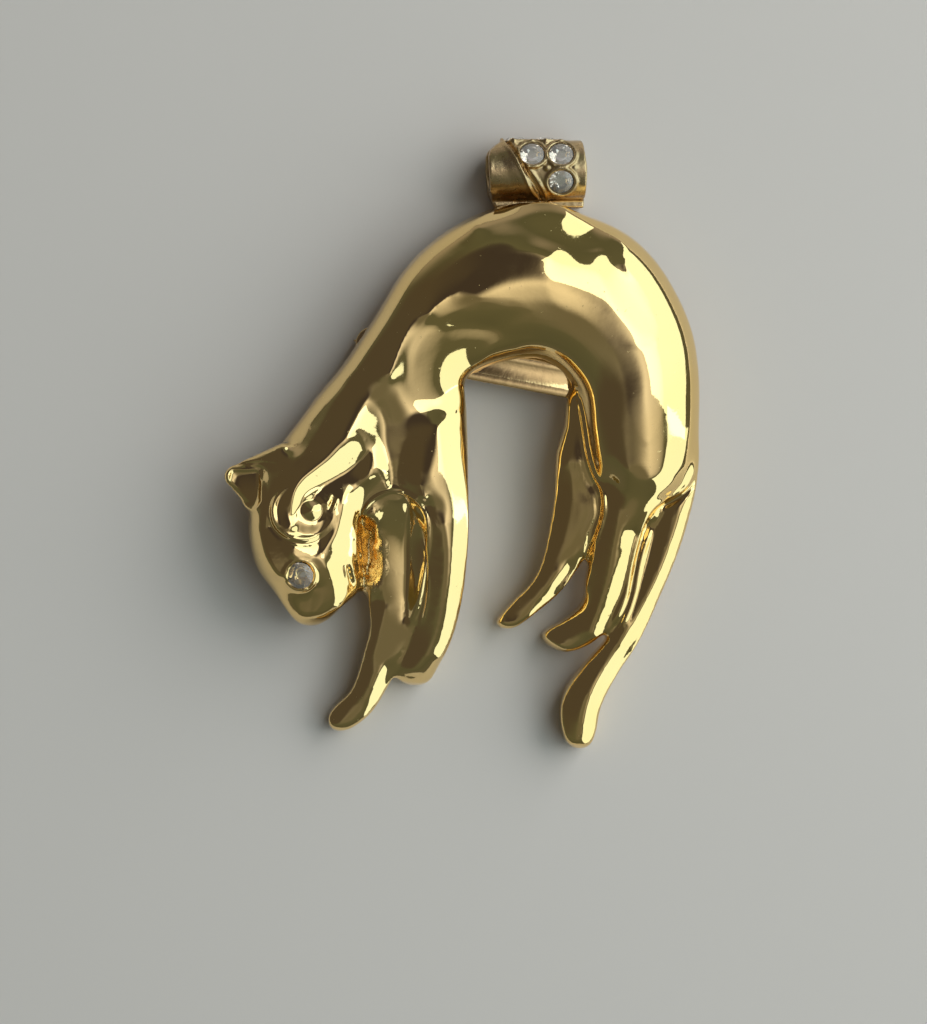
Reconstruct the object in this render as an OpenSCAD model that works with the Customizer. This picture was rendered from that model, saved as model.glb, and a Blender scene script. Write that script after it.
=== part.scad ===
// Arched big-cat brooch with a stone-set bail, lying face up.
// Millimetres. X runs to the right, Y to the top of the brooch, Z up through its face.
// The origin is on the surface it lies on, under the middle of its outline.

/* [Animal] */
// Width of the cast animal, from the far ear to the rump
animal_w = 45; // [38:0.5:60]
// Length of the cast animal, from the tail tip to the top of the back
animal_l = 52.3; // [44:0.5:70]
// Height of the modelling above the rim of the hollow back
relief_h = 6; // [5:0.1:8]
// Thickness of the casting's side wall round the hollow
wall = 1.3; // [0.9:0.1:1.8]
// Thickness of the casting over the hollow, at the crown
roof = 2.1; // [1.6:0.1:2.6]

/* [Ears and face] */
// Thickness of the far ear's edge
ear_edge = 0.9; // [0.6:0.05:1.2]
// Radius of the near ear's lobe
lobe_r = 2.7; // [2.2:0.1:3.2]
// Height that the near ear's lobe stands above the head
lobe_h = 0.7; // [0.4:0.1:1.2]
// Width of the mouth's slit
mouth_w = 0.45; // [0.3:0.05:0.7]

/* [Stones] */
// Diameter of the cut stone in the face
eye_d = 2.5; // [2:0.1:3]
// Diameter of the cut stones in the bail
pave_d = 2.3; // [1.8:0.1:2.5]
// Gap between a stone's girdle and its seat
stone_gap = 0.06; // [0.04:0.01:0.1]
// Metal left round a stone's seat
seat_wall = 0.3; // [0.2:0.05:0.4]

/* [Bail] */
// Width of the bail
bail_w = 9.2; // [7.5:0.1:11]
// Width of the bail's foot, where it goes under the back
bail_foot_w = 8.4; // [6.5:0.1:9]
// Outer radius of the bail's loop
bail_r = 2.75; // [2.6:0.05:3.2]
// Thickness of the bail's band
bail_t = 0.95; // [0.8:0.05:1.1]
// Distance that the bail shows above the animal's back
bail_rise = 5.9; // [5.5:0.1:7]
// Width of the bail's knuckle on its pin
knuckle_w = 3.2; // [2.6:0.1:4]
// Outer radius of the knuckle and of the lugs beside it
knuckle_r = 1.1; // [1:0.05:1.3]
// Diameter of the bail's hinge pin
hinge_pin_d = 1; // [0.8:0.05:1.1]
// Width of each lug that holds the hinge pin
lug_w = 1.3; // [1:0.1:1.8]
// Gap between the knuckle and each lug
side_gap = 0.2; // [0.1:0.05:0.3]
// Gap round the hinge pin
pin_gap = 0.06; // [0.04:0.01:0.1]

/* [Pin back] */
// Length of the bar on the back
bar_l = 30.5; // [28:0.5:33]
// Width of the bar
bar_w = 3.2; // [2.8:0.1:4]
// Thickness of the bar
bar_t = 0.7; // [0.5:0.05:0.9]
// Height of the hinge and of the catch below the bar
stem_drop = 1.85; // [1.6:0.05:2.2]
// Diameter of the pin's stem
stem_d = 0.8; // [0.6:0.05:1]
// Diameter of the two cast posts that the bar is riveted to
post_d = 1.3; // [1:0.05:1.5]
// Gap between the bar and the casting, and round its posts
bar_gap = 0.06; // [0.04:0.01:0.1]

/* [Hidden] */

gold = "gold";
coppery = "goldenrod";
crystal = "aliceblue";

back_h = bar_gap + bar_t + stem_drop;    // the rim of the hollow back stands this high on the surface
top_h = back_h + relief_h;               // the crown of the back
whole_l = animal_l + bail_rise;
steps = 3;                               // rings between two rows of the trunk's table
limb_steps = 2;                          // and of a limb's
arc_n = 10;                              // faces over a section's crown
slim = 0.055;                            // a section of this half width, as a share of animal_w, is a limb's
broad = 0.135;                           // and of this one the trunk's

// Shares of the animal's outline to millimetres: u from its left edge, v from its tail tip
function at(u, v) = [(u - 0.5) * animal_w, v * animal_l - whole_l / 2];
function at3(u, v, z) = [at(u, v)[0], at(u, v)[1], z * top_h];

// Each row is a section through the casting from one edge of its outline to the other:
// [first edge u, v, second edge u, v, rim as a share of back_h, crown as a share of top_h, hollow 0 to 1]
trunk_rows = [
    [0.096, 0.532, 0.270, 0.425, 1.00, 0.74, 0.0],
    [0.123, 0.567, 0.297, 0.440, 1.00, 0.84, 0.0],
    [0.158, 0.606, 0.326, 0.469, 1.00, 0.87, 0.0],
    [0.196, 0.652, 0.389, 0.487, 1.00, 0.91, 0.5],
    [0.242, 0.699, 0.452, 0.531, 1.00, 0.95, 0.9],
    [0.284, 0.751, 0.486, 0.597, 1.00, 0.97, 1.0],
    [0.324, 0.803, 0.496, 0.657, 1.00, 0.98, 1.0],
    [0.373, 0.872, 0.515, 0.686, 1.00, 0.99, 1.0],
    [0.431, 0.924, 0.545, 0.699, 1.00, 0.99, 1.0],
    [0.511, 0.969, 0.578, 0.708, 1.00, 1.00, 1.0],
    [0.599, 0.995, 0.614, 0.715, 1.00, 1.00, 1.0],
    [0.683, 0.996, 0.650, 0.717, 1.00, 1.00, 1.0],
    [0.766, 0.974, 0.679, 0.711, 1.00, 1.00, 1.0],
    [0.847, 0.942, 0.704, 0.697, 1.00, 1.00, 1.0],
    [0.908, 0.893, 0.723, 0.679, 1.00, 1.00, 1.0],
    [0.954, 0.830, 0.738, 0.661, 1.00, 1.00, 1.0],
    [0.985, 0.765, 0.746, 0.639, 1.00, 1.00, 1.0],
    [0.998, 0.697, 0.748, 0.616, 1.00, 1.00, 1.0],
    [1.000, 0.625, 0.752, 0.585, 1.00, 0.99, 1.0],
    [0.994, 0.552, 0.761, 0.538, 1.00, 0.97, 0.9],
    [0.969, 0.492, 0.773, 0.505, 1.00, 0.95, 0.6],
    [0.931, 0.462, 0.788, 0.484, 1.00, 0.91, 0.3],
    [0.897, 0.433, 0.794, 0.457, 0.95, 0.87, 0.0],
    [0.878, 0.404, 0.792, 0.430, 0.86, 0.82, 0.0],
    [0.868, 0.368, 0.778, 0.388, 0.74, 0.75, 0.0],
    [0.849, 0.323, 0.767, 0.347, 0.60, 0.67, 0.0],
    [0.834, 0.282, 0.761, 0.303, 0.44, 0.59, 0.0],
    [0.813, 0.236, 0.754, 0.271, 0.28, 0.52, 0.0],
    [0.784, 0.204, 0.725, 0.245, 0.14, 0.46, 0.0],
    [0.750, 0.187, 0.695, 0.229, 0.04, 0.42, 0.0],
    [0.718, 0.181, 0.676, 0.219, 0.00, 0.38, 0.0],
    [0.688, 0.189, 0.668, 0.206, 0.00, 0.20, 0.0],
];
head_rows = [
    [0.125, 0.560, 0.310, 0.498, 1.00, 0.88],
    [0.087, 0.531, 0.301, 0.462, 1.00, 0.93],
    [0.058, 0.484, 0.289, 0.440, 1.00, 0.96],
    [0.051, 0.426, 0.282, 0.408, 1.00, 0.96],
    [0.054, 0.381, 0.284, 0.354, 0.98, 0.92],
    [0.070, 0.336, 0.286, 0.314, 0.94, 0.86],
    [0.100, 0.303, 0.278, 0.292, 0.90, 0.79],
    [0.125, 0.271, 0.251, 0.274, 0.86, 0.71],
    [0.148, 0.245, 0.221, 0.249, 0.82, 0.62],
    [0.165, 0.235, 0.196, 0.235, 0.78, 0.46],
];
near_fore_rows = [
    [0.340, 0.640, 0.498, 0.700, 1.00, 0.80],
    [0.340, 0.580, 0.505, 0.650, 1.00, 0.93],
    [0.352, 0.520, 0.509, 0.580, 1.00, 0.97],
    [0.385, 0.462, 0.509, 0.498, 1.00, 0.96],
    [0.419, 0.399, 0.509, 0.422, 1.00, 0.94],
    [0.425, 0.361, 0.507, 0.372, 0.96, 0.90],
    [0.421, 0.309, 0.501, 0.309, 0.84, 0.82],
    [0.417, 0.267, 0.492, 0.260, 0.68, 0.74],
    [0.406, 0.231, 0.480, 0.217, 0.48, 0.65],
    [0.387, 0.193, 0.465, 0.184, 0.26, 0.57],
    [0.366, 0.166, 0.452, 0.162, 0.10, 0.51],
    [0.362, 0.143, 0.440, 0.141, 0.02, 0.46],
    [0.368, 0.131, 0.430, 0.128, 0.00, 0.38],
    [0.385, 0.121, 0.415, 0.120, 0.00, 0.20],
];
far_fore_rows = [
    [0.318, 0.462, 0.419, 0.462, 1.00, 0.58],
    [0.314, 0.408, 0.419, 0.408, 1.00, 0.66],
    [0.310, 0.354, 0.423, 0.354, 0.95, 0.66],
    [0.301, 0.294, 0.419, 0.282, 0.80, 0.63],
    [0.307, 0.236, 0.398, 0.224, 0.62, 0.58],
    [0.295, 0.193, 0.377, 0.181, 0.44, 0.54],
    [0.280, 0.144, 0.356, 0.143, 0.24, 0.48],
    [0.263, 0.110, 0.335, 0.108, 0.10, 0.44],
    [0.238, 0.090, 0.310, 0.074, 0.02, 0.40],
    [0.217, 0.066, 0.280, 0.051, 0.00, 0.36],
    [0.219, 0.048, 0.258, 0.040, 0.00, 0.29],
    [0.229, 0.038, 0.243, 0.036, 0.00, 0.17],
];
far_hind_rows = [
    [0.745, 0.690, 0.800, 0.670, 1.00, 0.50],
    [0.718, 0.640, 0.792, 0.630, 1.00, 0.57],
    [0.715, 0.596, 0.788, 0.570, 1.00, 0.60],
    [0.696, 0.543, 0.796, 0.516, 1.00, 0.60],
    [0.694, 0.471, 0.796, 0.462, 0.90, 0.59],
    [0.685, 0.417, 0.788, 0.399, 0.76, 0.57],
    [0.671, 0.354, 0.754, 0.350, 0.58, 0.54],
    [0.647, 0.309, 0.723, 0.309, 0.42, 0.50],
    [0.616, 0.282, 0.696, 0.282, 0.26, 0.46],
    [0.589, 0.255, 0.660, 0.256, 0.12, 0.42],
    [0.572, 0.237, 0.616, 0.227, 0.02, 0.36],
    [0.580, 0.225, 0.594, 0.222, 0.00, 0.18],
];
tail_rows = [
    [0.925, 0.585, 0.994, 0.605, 1.00, 0.66],
    [0.914, 0.516, 0.996, 0.543, 1.00, 0.74],
    [0.914, 0.462, 0.990, 0.484, 1.00, 0.71],
    [0.897, 0.419, 0.977, 0.433, 1.00, 0.68],
    [0.882, 0.375, 0.960, 0.381, 0.96, 0.65],
    [0.874, 0.327, 0.939, 0.332, 0.88, 0.62],
    [0.864, 0.287, 0.918, 0.289, 0.78, 0.59],
    [0.847, 0.249, 0.893, 0.238, 0.66, 0.56],
    [0.817, 0.217, 0.866, 0.191, 0.52, 0.53],
    [0.784, 0.184, 0.838, 0.155, 0.38, 0.50],
    [0.746, 0.146, 0.813, 0.116, 0.25, 0.47],
    [0.719, 0.110, 0.794, 0.079, 0.13, 0.45],
    [0.708, 0.072, 0.788, 0.047, 0.04, 0.43],
    [0.715, 0.032, 0.782, 0.022, 0.00, 0.38],
    [0.725, 0.012, 0.773, 0.007, 0.00, 0.30],
    [0.742, 0.002, 0.757, 0.000, 0.00, 0.17],
];
// The low strip of metal that joins the tail to the near hind leg
tail_web_rows = [
    [0.860, 0.450, 0.940, 0.475, 1.00, 0.62],
    [0.840, 0.380, 0.905, 0.392, 0.95, 0.58],
    [0.826, 0.315, 0.888, 0.325, 0.80, 0.54],
    [0.806, 0.255, 0.868, 0.262, 0.62, 0.49],
    [0.775, 0.216, 0.836, 0.218, 0.46, 0.42],
];
// The low web of metal behind the arch between the jaw and the near foreleg
web_outline = [[0.270, 0.480], [0.330, 0.505], [0.430, 0.470], [0.440, 0.380], [0.430, 0.270], [0.390, 0.240],
               [0.310, 0.270], [0.276, 0.320]];

// A smooth curve through the rows, and the rings of a section
function curve(a, b, c, d, t) =
    0.5 * (2 * b + (c - a) * t + (2 * a - 5 * b + 4 * c - d) * t * t + (3 * b - a - 3 * c + d) * t * t * t);
function smooth(rows, k) = let (n = len(rows) - 1) [
    for (i = [0:n - 1], j = [0:k - 1])
        curve(rows[max(i - 1, 0)], rows[i], rows[i + 1], rows[min(i + 2, n)], j / k),
    rows[n]
];
// A section stands on an upright edge. A limb's crown is low and flat with rounded corners, and the
// trunk's is nearly the whole height; sections between the two widths go smoothly from one to the other.
function ring(a, b, low, high) =
    let (half = norm(b - a) / 2, k = min(max((half / animal_w - slim) / (broad - slim), 0), 1),
         dome = (1 - k) * min(0.36 * half, 0.9 * (high - low)) + k * 0.9 * (high - low))
    concat([[a[0], a[1], low]],
           [for (i = [0:arc_n])
               let (turn = 180 * i / arc_n, p = (a + b) / 2 - (b - a) / 2 * cos(turn))
               [p[0], p[1], high - dome + dome * ((1 - k) * (1 - pow(abs(cos(turn)), 3))
                                                  + k * pow(max(sin(turn), 0), 0.70))]],
           [[b[0], b[1], low]]);
function inner_arc(a, b, low, high, full) = [
    for (i = [0:arc_n])
        let (turn = 180 * i / arc_n, p = (a + b) / 2 - (b - a) / 2 * cos(turn))
        [p[0], p[1], low + (high - low) * pow(max(sin(turn), 0), full)]
];
function reverse(v) = [for (i = [len(v) - 1:-1:0]) v[i]];
function outer_ring(r) = ring(at(r[0], r[1]), at(r[2], r[3]), r[4] * back_h, r[5] * top_h);
function inner_ring(r) =
    let (a = at(r[0], r[1]), b = at(r[2], r[3]), along = (b - a) / norm(b - a))
    inner_arc(a + along * wall, b - along * wall, back_h - 1,
         back_h + max(r[6], 0.05) * (r[5] * top_h - roof - back_h), 0.55);

module loft(rings) {
    m = len(rings[0]);
    n = len(rings);
    polyhedron(
        points = [for (r = rings) each r],
        faces = concat(
            [[for (j = [0:m - 1]) j]],
            [for (i = [0:n - 2], j = [0:m - 1]) each [
                [i * m + j, (i + 1) * m + j, (i + 1) * m + (j + 1) % m],
                [i * m + j, (i + 1) * m + (j + 1) % m, i * m + (j + 1) % m]]],
            [[for (j = [m - 1:-1:0]) (n - 1) * m + j]]),
        convexity = 8);
}
// A limb's rows run from its root to its tip, left edge first; the trunk's run the other way round
module limb(rows) loft(reverse([for (r = smooth(rows, limb_steps)) outer_ring(r)]));
module trunk() loft([for (r = smooth(trunk_rows, steps)) outer_ring(r)]);
module drop(p, r) translate(p) sphere(r = r, $fn = 16);

// The pin bar's line across the back, which its posts follow
bar_turn = -10.8;
bar_mid = at(0.611, 0.694);
post_at = [-0.34, 0.36];                 // along the bar, as shares of its length
module on_bar() translate([bar_mid[0], bar_mid[1], 0]) rotate(bar_turn) children();

// The bail's hinge, behind the top of the back
hinge_x = at(0.655, 0)[0];
hinge_y = whole_l / 2 - bail_rise - 2.1;
hinge_z = knuckle_r + 0.15;
loop_y = whole_l / 2 - bail_r - 0.7 * stone_crown(pave_d) - hinge_y;  // the loop's middle, from the hinge
loop_z = bail_r - hinge_z;
module at_hinge() translate([hinge_x, hinge_y, hinge_z]) children();

// The stone in the face
eye_at = at3(0.1585, 0.332, 0.865);
eye_tilt = [10, -14, 0];
function stone_crown(d) = 0.13 * d;
function stone_depth(d) = 0.24 * d;

// A cut stone: its girdle at z = 0, table up, eight facets round the crown and eight below
module stone(d) {
    rotate_extrude($fn = 8)
        polygon([[0, -stone_depth(d)], [0.18 * d, -stone_depth(d)], [0.5 * d, -0.02 * d], [0.5 * d, 0.02 * d],
                 [0.29 * d, stone_crown(d)], [0, stone_crown(d)]]);
}
// Its seat follows it with a gap all round, open above
module seat(d, up = 1) {
    rotate_extrude($fn = 32)
        polygon([[0, -stone_depth(d) - stone_gap], [0.18 * d + stone_gap, -stone_depth(d) - stone_gap],
                 [0.5 * d + stone_gap, -0.02 * d - stone_gap], [0.5 * d + stone_gap, up], [0, up]]);
}

// The far ear: a leaf of metal beside the head, with a cup pressed into it
far_ear_rim = [[0.020, 0.509], [0.100, 0.541], [0.062, 0.462]];
far_ear_cup = [[0.030, 0.503], [0.070, 0.513], [0.056, 0.478]];
module far_ear() {
    hull() {
        for (p = far_ear_rim) drop(at3(p[0], p[1], 0.60), ear_edge);
        drop(at3(0.085, 0.500, 0.66), ear_edge);
    }
    hull() for (p = far_ear_rim)
        translate(at3(0.85 * p[0] + 0.015, p[1], 0.36))
            cylinder(r = 0.8 * ear_edge, h = 0.2 * top_h, $fn = 16);
    hull() {
        drop(at3(0.100, 0.541, 0.62), ear_edge);
        drop(at3(0.125, 0.552, 0.70), ear_edge);
        drop(at3(0.120, 0.500, 0.66), ear_edge);
    }
}
module far_ear_cup() hull() {
    for (p = far_ear_cup) drop(at3(p[0], p[1], 0.60), 0.5 * ear_edge);
    for (p = far_ear_rim) drop(at3(0.5 * p[0] + 0.026, 0.5 * p[1] + 0.249, 0.80), ear_edge);
}
// The near ear: a low rounded lobe with a cut edge in front and below
module near_ear() translate(at3(0.172, 0.446, 0.82)) rotate([4, -5, -12]) scale([1.06, 0.92, 1]) hull() {
    cylinder(r = lobe_r, h = 0.1 * top_h, $fn = 28);
    translate([0, 0, 0.1 * top_h + 0.6 * lobe_h]) cylinder(r = 0.84 * lobe_r, h = 0.1, $fn = 28);
    translate([0, 0, 0.1 * top_h + lobe_h]) cylinder(r = 0.45 * lobe_r, h = 0.1, $fn = 28);
}
module ear_ring() {
    translate(at3(0.180, 0.447, 0.92) + [0, 0, lobe_h + 0.05]) scale([1.15, 0.95, 1])
        rotate_extrude($fn = 20) translate([0.32 * lobe_r, 0]) circle(r = 0.1 * lobe_r, $fn = 8);
}
module brow() hull() {
    drop(at3(0.152, 0.388, 0.935), 0.55);
    drop(at3(0.178, 0.372, 0.925), 0.5);
}
module mouth() hull() {
    drop(at3(0.252, 0.350, 0.795), mouth_w);
    drop(at3(0.268, 0.312, 0.67), mouth_w);
}
// The two posts of the pin bar, with a shoulder that the bar seats on and a riveted end
module posts() on_bar() for (p = post_at) translate([p * bar_l, 0, 0]) {
    translate([0, 0, back_h]) cylinder(d = post_d + 1.6, h = relief_h - 0.75 * roof, $fn = 24);
    translate([0, 0, stem_drop - 0.3]) cylinder(d = post_d, h = back_h, $fn = 24);
    translate([0, 0, stem_drop - bar_gap - 0.25]) cylinder(d = post_d + 0.7, h = 0.25, $fn = 24);
}
// The two lugs behind the top of the back that hold the bail's pin
lug_x = knuckle_w / 2 + side_gap + lug_w / 2;
module lugs() at_hinge() for (side = [-1, 1]) translate([side * lug_x, 0, 0]) hull() {
    rotate([0, 90, 0]) cylinder(r = knuckle_r, h = lug_w, center = true, $fn = 32);
    translate([-lug_w / 2, -knuckle_r, 0.55 * top_h - hinge_z]) cube([lug_w, 2 * knuckle_r, 0.1]);
}
module hinge_hole(d, w, n) at_hinge() rotate([0, 90, 0]) cylinder(d = d, h = w, center = true, $fn = n);
hinge_w = knuckle_w + 2 * (side_gap + lug_w);

module panther() {
    color(gold) difference() {
        union() {
            difference() {
                union() {
                    trunk();
                    limb(head_rows);
                    limb(near_fore_rows);
                    limb(far_fore_rows);
                    limb(far_hind_rows);
                    limb(tail_rows);
                    limb(tail_web_rows);
                    far_ear();
                    near_ear();
                    brow();
                    // the web behind the arch
                    translate([0, 0, back_h]) linear_extrude(0.1 * top_h)
                        polygon([for (p = web_outline) at(p[0], p[1])]);
                    // the stone's raised setting
                    translate(eye_at) rotate(eye_tilt) translate([0, 0, -1.2])
                        cylinder(d1 = eye_d + 4 * seat_wall, d2 = eye_d + 2 * (stone_gap + seat_wall), h = 1.25,
                                 $fn = 32);
                }
                // the hollow back
                loft([for (r = smooth([for (r = trunk_rows) if (r[6] > 0) r], steps)) inner_ring(r)]);
            }
            posts();
            lugs();
        }
        translate(eye_at) rotate(eye_tilt) seat(eye_d);
        ear_ring();
        mouth();
        far_ear_cup();
        hinge_hole(hinge_pin_d + 2 * pin_gap, 2 * hinge_w, 32);
    }
}

module eye_stone() color(crystal) translate(eye_at) rotate(eye_tilt) stone(eye_d);

// The bail, drawn from its hinge: a loop with a foot that runs under the back to the knuckle
pitch = pave_d + 2 * stone_gap + seat_wall;       // from one stone's middle to the next
row_turn = pitch / bail_r * 180 / PI;             // the same, round the loop
// [place across the bail, turn round the loop from its crown]
pave = [
    [-0.54, 30], [pitch - 0.54, 30], [pitch - 0.54, 30 - row_turn],
    [-0.54 - pitch / 2, 30 + row_turn], [-0.54 + pitch / 2, 30 + row_turn]];
foot_top = back_h - 4 * bar_gap - hinge_z;        // clear under the rim
sink = 0.06;                                      // a stone's girdle below the loop's surface
collar = 0.1;                                     // its seat's collar above it
module at_stone(p) at_hinge() translate([p[0], loop_y, loop_z]) rotate([-p[1], 0, 0])
    translate([0, 0, bail_r - sink]) children();
module across(w) rotate([90, 0, 90]) linear_extrude(w, center = true) children();
module bail_side() {
    translate([loop_y, loop_z]) circle(r = bail_r, $fn = 64);
    polygon([[0, -knuckle_r], [loop_y, -hinge_z], [loop_y, 0], [0.75 * loop_y, foot_top], [0, foot_top]]);
    polygon([[0.42 * loop_y, foot_top - 0.1], [0.50 * loop_y, 0.7 * loop_z + 1],
             [0.56 * loop_y, loop_z + 1.55],
             [loop_y, loop_z], [loop_y, 0]]);
}
// The bail's outline from the front: the left side leans in to the foot, its top corner is rounded
module bail_front() polygon([
    [-bail_foot_w / 2 + 0.4, knuckle_r + 0.4], [-0.96 * bail_w / 2, 0.55 * loop_y], [-bail_w / 2, loop_y],
    [-bail_w / 2, loop_y + 0.45 * bail_r], [-0.96 * bail_w / 2, loop_y + 0.64 * bail_r],
    [-0.84 * bail_w / 2, loop_y + 0.84 * bail_r], [-0.64 * bail_w / 2, loop_y + bail_r],
    [-0.5 * bail_w / 2, loop_y + 2 * bail_r],
    [0.9 * bail_w / 2, loop_y + 2 * bail_r], [0.94 * bail_w / 2, loop_y + 0.9 * bail_r], [bail_w / 2, loop_y],
    [bail_foot_w / 2 + 0.4, knuckle_r + 0.4],
    [knuckle_w / 2, knuckle_r + 0.4], [knuckle_w / 2, -2 * knuckle_r], [-knuckle_w / 2, -2 * knuckle_r],
    [-knuckle_w / 2, knuckle_r + 0.4]]);
module slash(shift, w) translate([-0.85 + shift, loop_y - 0.5, 0]) rotate(33)
    translate([-w / 2, -4, -hinge_z]) cube([w, 8, 4 * bail_r]);
module bail() color(coppery) difference() {
    union() {
        at_hinge() intersection() {
            union() {
                across(bail_w) bail_side();
                rotate([0, 90, 0]) cylinder(r = knuckle_r, h = knuckle_w, center = true, $fn = 48);
                // the raised edges of the diagonal groove
                for (shift = [-0.36, 0.36]) intersection() {
                    slash(shift, 0.26);
                    across(bail_w) translate([loop_y, loop_z]) circle(r = bail_r + 0.12, $fn = 64);
                }
            }
            translate([0, 0, -hinge_z]) linear_extrude(3 * bail_r) bail_front();
        }
        for (p = pave) at_stone(p) translate([0, 0, -0.6])
            cylinder(d = pave_d + 2 * (stone_gap + seat_wall), h = 0.6 + sink + collar, $fn = 40);
        // the small beads of metal between the stones
        at_stone([pitch / 2 - 0.54, 30 - row_turn / 2]) sphere(r = 0.32, $fn = 20);
    }
    at_hinge() translate([0, loop_y, loop_z]) rotate([0, 90, 0])
        cylinder(r = bail_r - bail_t, h = 2 * bail_w, center = true, $fn = 64);
    // the groove is this deep all along
    at_hinge() difference() {
        slash(0, 0.4);
        translate([0, 0, -0.3]) across(2 * bail_w) bail_side();
    }
    for (p = pave) at_stone(p) seat(pave_d);
    hinge_hole(hinge_pin_d + 2 * pin_gap, 2 * knuckle_w, 48);
}
module bail_stone(i) color(crystal) at_stone(pave[i]) stone(pave_d);

module hinge_pin() color(coppery) hinge_hole(hinge_pin_d, hinge_w, 48);

// The pin back: a riveted bar with its hinge, stem and catch, one plain piece
stem_z = stem_drop / 2;
hinge_at = bar_l / 2 - bar_w / 2;
catch_at = -bar_l / 2 + 1.4;
catch_l = 2.2;
module pin_back() color(coppery) on_bar() {
    difference() {
        translate([0, 0, stem_drop]) linear_extrude(bar_t) {
            square([bar_l - bar_w, bar_w], center = true);
            for (side = [-1, 1]) translate([side * (bar_l - bar_w) / 2, 0]) circle(d = bar_w, $fn = 40);
        }
        for (p = post_at) translate([p * bar_l, 0, 0])
            cylinder(d = post_d + 2 * bar_gap, h = 3 * back_h, $fn = 32);
    }
    // hinge barrel between its cheeks
    translate([hinge_at, 0, stem_z]) rotate([90, 0, 0])
        cylinder(r = stem_z, h = 0.8 * bar_w, center = true, $fn = 40);
    translate([hinge_at - 0.7, -0.4 * bar_w, stem_z])
        cube([1.4, 0.8 * bar_w, stem_drop - stem_z + bar_t / 2]);
    // stem
    translate([catch_at - catch_l / 2 - 0.5, 0, stem_z]) rotate([0, 90, 0])
        cylinder(d = stem_d, h = hinge_at - catch_at + catch_l / 2 + 0.5, $fn = 32);
    // catch: a tube with a slot, its foot, and its turning lever
    difference() {
        union() {
            translate([catch_at, 0, stem_z]) rotate([0, 90, 0])
                cylinder(r = stem_z, h = catch_l, center = true, $fn = 40);
            translate([catch_at - catch_l / 2, -0.5, stem_z])
                cube([catch_l, 1, stem_drop - stem_z + bar_t / 2]);
        }
        translate([catch_at, 0, stem_z]) rotate([0, 90, 0])
            cylinder(d = stem_d + 0.24, h = 2 * catch_l, center = true, $fn = 32);
        translate([catch_at - catch_l, -2, stem_z - 0.2]) cube([2 * catch_l, 2, 0.5]);
    }
    translate([catch_at - catch_l / 2 - 0.3, -2.3, stem_z + 0.35]) cube([0.9, 2, 0.5]);
}

panther();
eye_stone();
bail();
bail_stone(0);  // bail_stone_1
bail_stone(1);  // bail_stone_2
bail_stone(2);  // bail_stone_3
bail_stone(3);  // bail_stone_4
bail_stone(4);  // bail_stone_5
hinge_pin();
pin_back();
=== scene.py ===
import math

import bmesh
import bpy
import numpy as np
from mathutils import Matrix, Vector


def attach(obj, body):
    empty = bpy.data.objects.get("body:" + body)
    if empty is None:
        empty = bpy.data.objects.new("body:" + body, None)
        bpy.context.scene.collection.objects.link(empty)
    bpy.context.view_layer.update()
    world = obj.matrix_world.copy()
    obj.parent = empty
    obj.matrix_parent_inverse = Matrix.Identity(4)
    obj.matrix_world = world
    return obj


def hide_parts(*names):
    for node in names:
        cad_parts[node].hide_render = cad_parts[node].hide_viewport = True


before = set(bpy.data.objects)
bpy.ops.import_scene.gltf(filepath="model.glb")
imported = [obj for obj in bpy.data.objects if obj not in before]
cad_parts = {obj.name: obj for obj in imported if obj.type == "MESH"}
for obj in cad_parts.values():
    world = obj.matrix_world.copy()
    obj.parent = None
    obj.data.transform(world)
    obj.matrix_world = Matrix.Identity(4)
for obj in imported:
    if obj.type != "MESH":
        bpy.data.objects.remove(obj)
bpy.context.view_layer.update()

# The cast animal. One casting in white metal with a hollow back, plated with bright gold and
# polished like a mirror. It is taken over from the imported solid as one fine, even skin that is
# smoothed; the ears, the face, the jaw and the folds of the haunch are then worked into it.
MM = 0.001
SKIN = 0.28              # spacing of the skin, in millimetres
SKIN_ROUNDS = 20         # rounds of smoothing over the whole skin that keep its size
SOFT_ROUNDS = 8          # rounds after them that also round its edges off
TO_THE_BACK = -0.3       # a skin whose normal points further down than this belongs to the hollow back
TURNABLE = 0.15          # a skin that is steeper than this isn't turned
RIM_TOP = 2.5            # the worked front lies above this height


def solid_copy(node):
    """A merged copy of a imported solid's mesh, in millimetres."""
    form = bmesh.new()
    form.from_mesh(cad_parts[node].data)
    bmesh.ops.transform(form, matrix=Matrix.Scale(1 / MM, 4), verts=form.verts)
    bmesh.ops.remove_doubles(form, verts=form.verts, dist=1e-4)
    bmesh.ops.recalc_face_normals(form, faces=form.faces)
    return form


def even_skin(form, spacing):
    """The same form as one closed skin of even small faces."""
    mesh = bpy.data.meshes.new("skin")
    form.to_mesh(mesh)
    form.free()
    blank = bpy.data.objects.new("skin", mesh)
    bpy.context.scene.collection.objects.link(blank)
    remesh = blank.modifiers.new("skin", "REMESH")
    remesh.mode = "VOXEL"
    remesh.voxel_size = spacing
    remesh.adaptivity = 0
    shown = blank.evaluated_get(bpy.context.evaluated_depsgraph_get())
    form = bmesh.new()
    form.from_mesh(shown.to_mesh())
    shown.to_mesh_clear()
    bpy.data.objects.remove(blank)
    bpy.data.meshes.remove(mesh)
    return form


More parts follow.
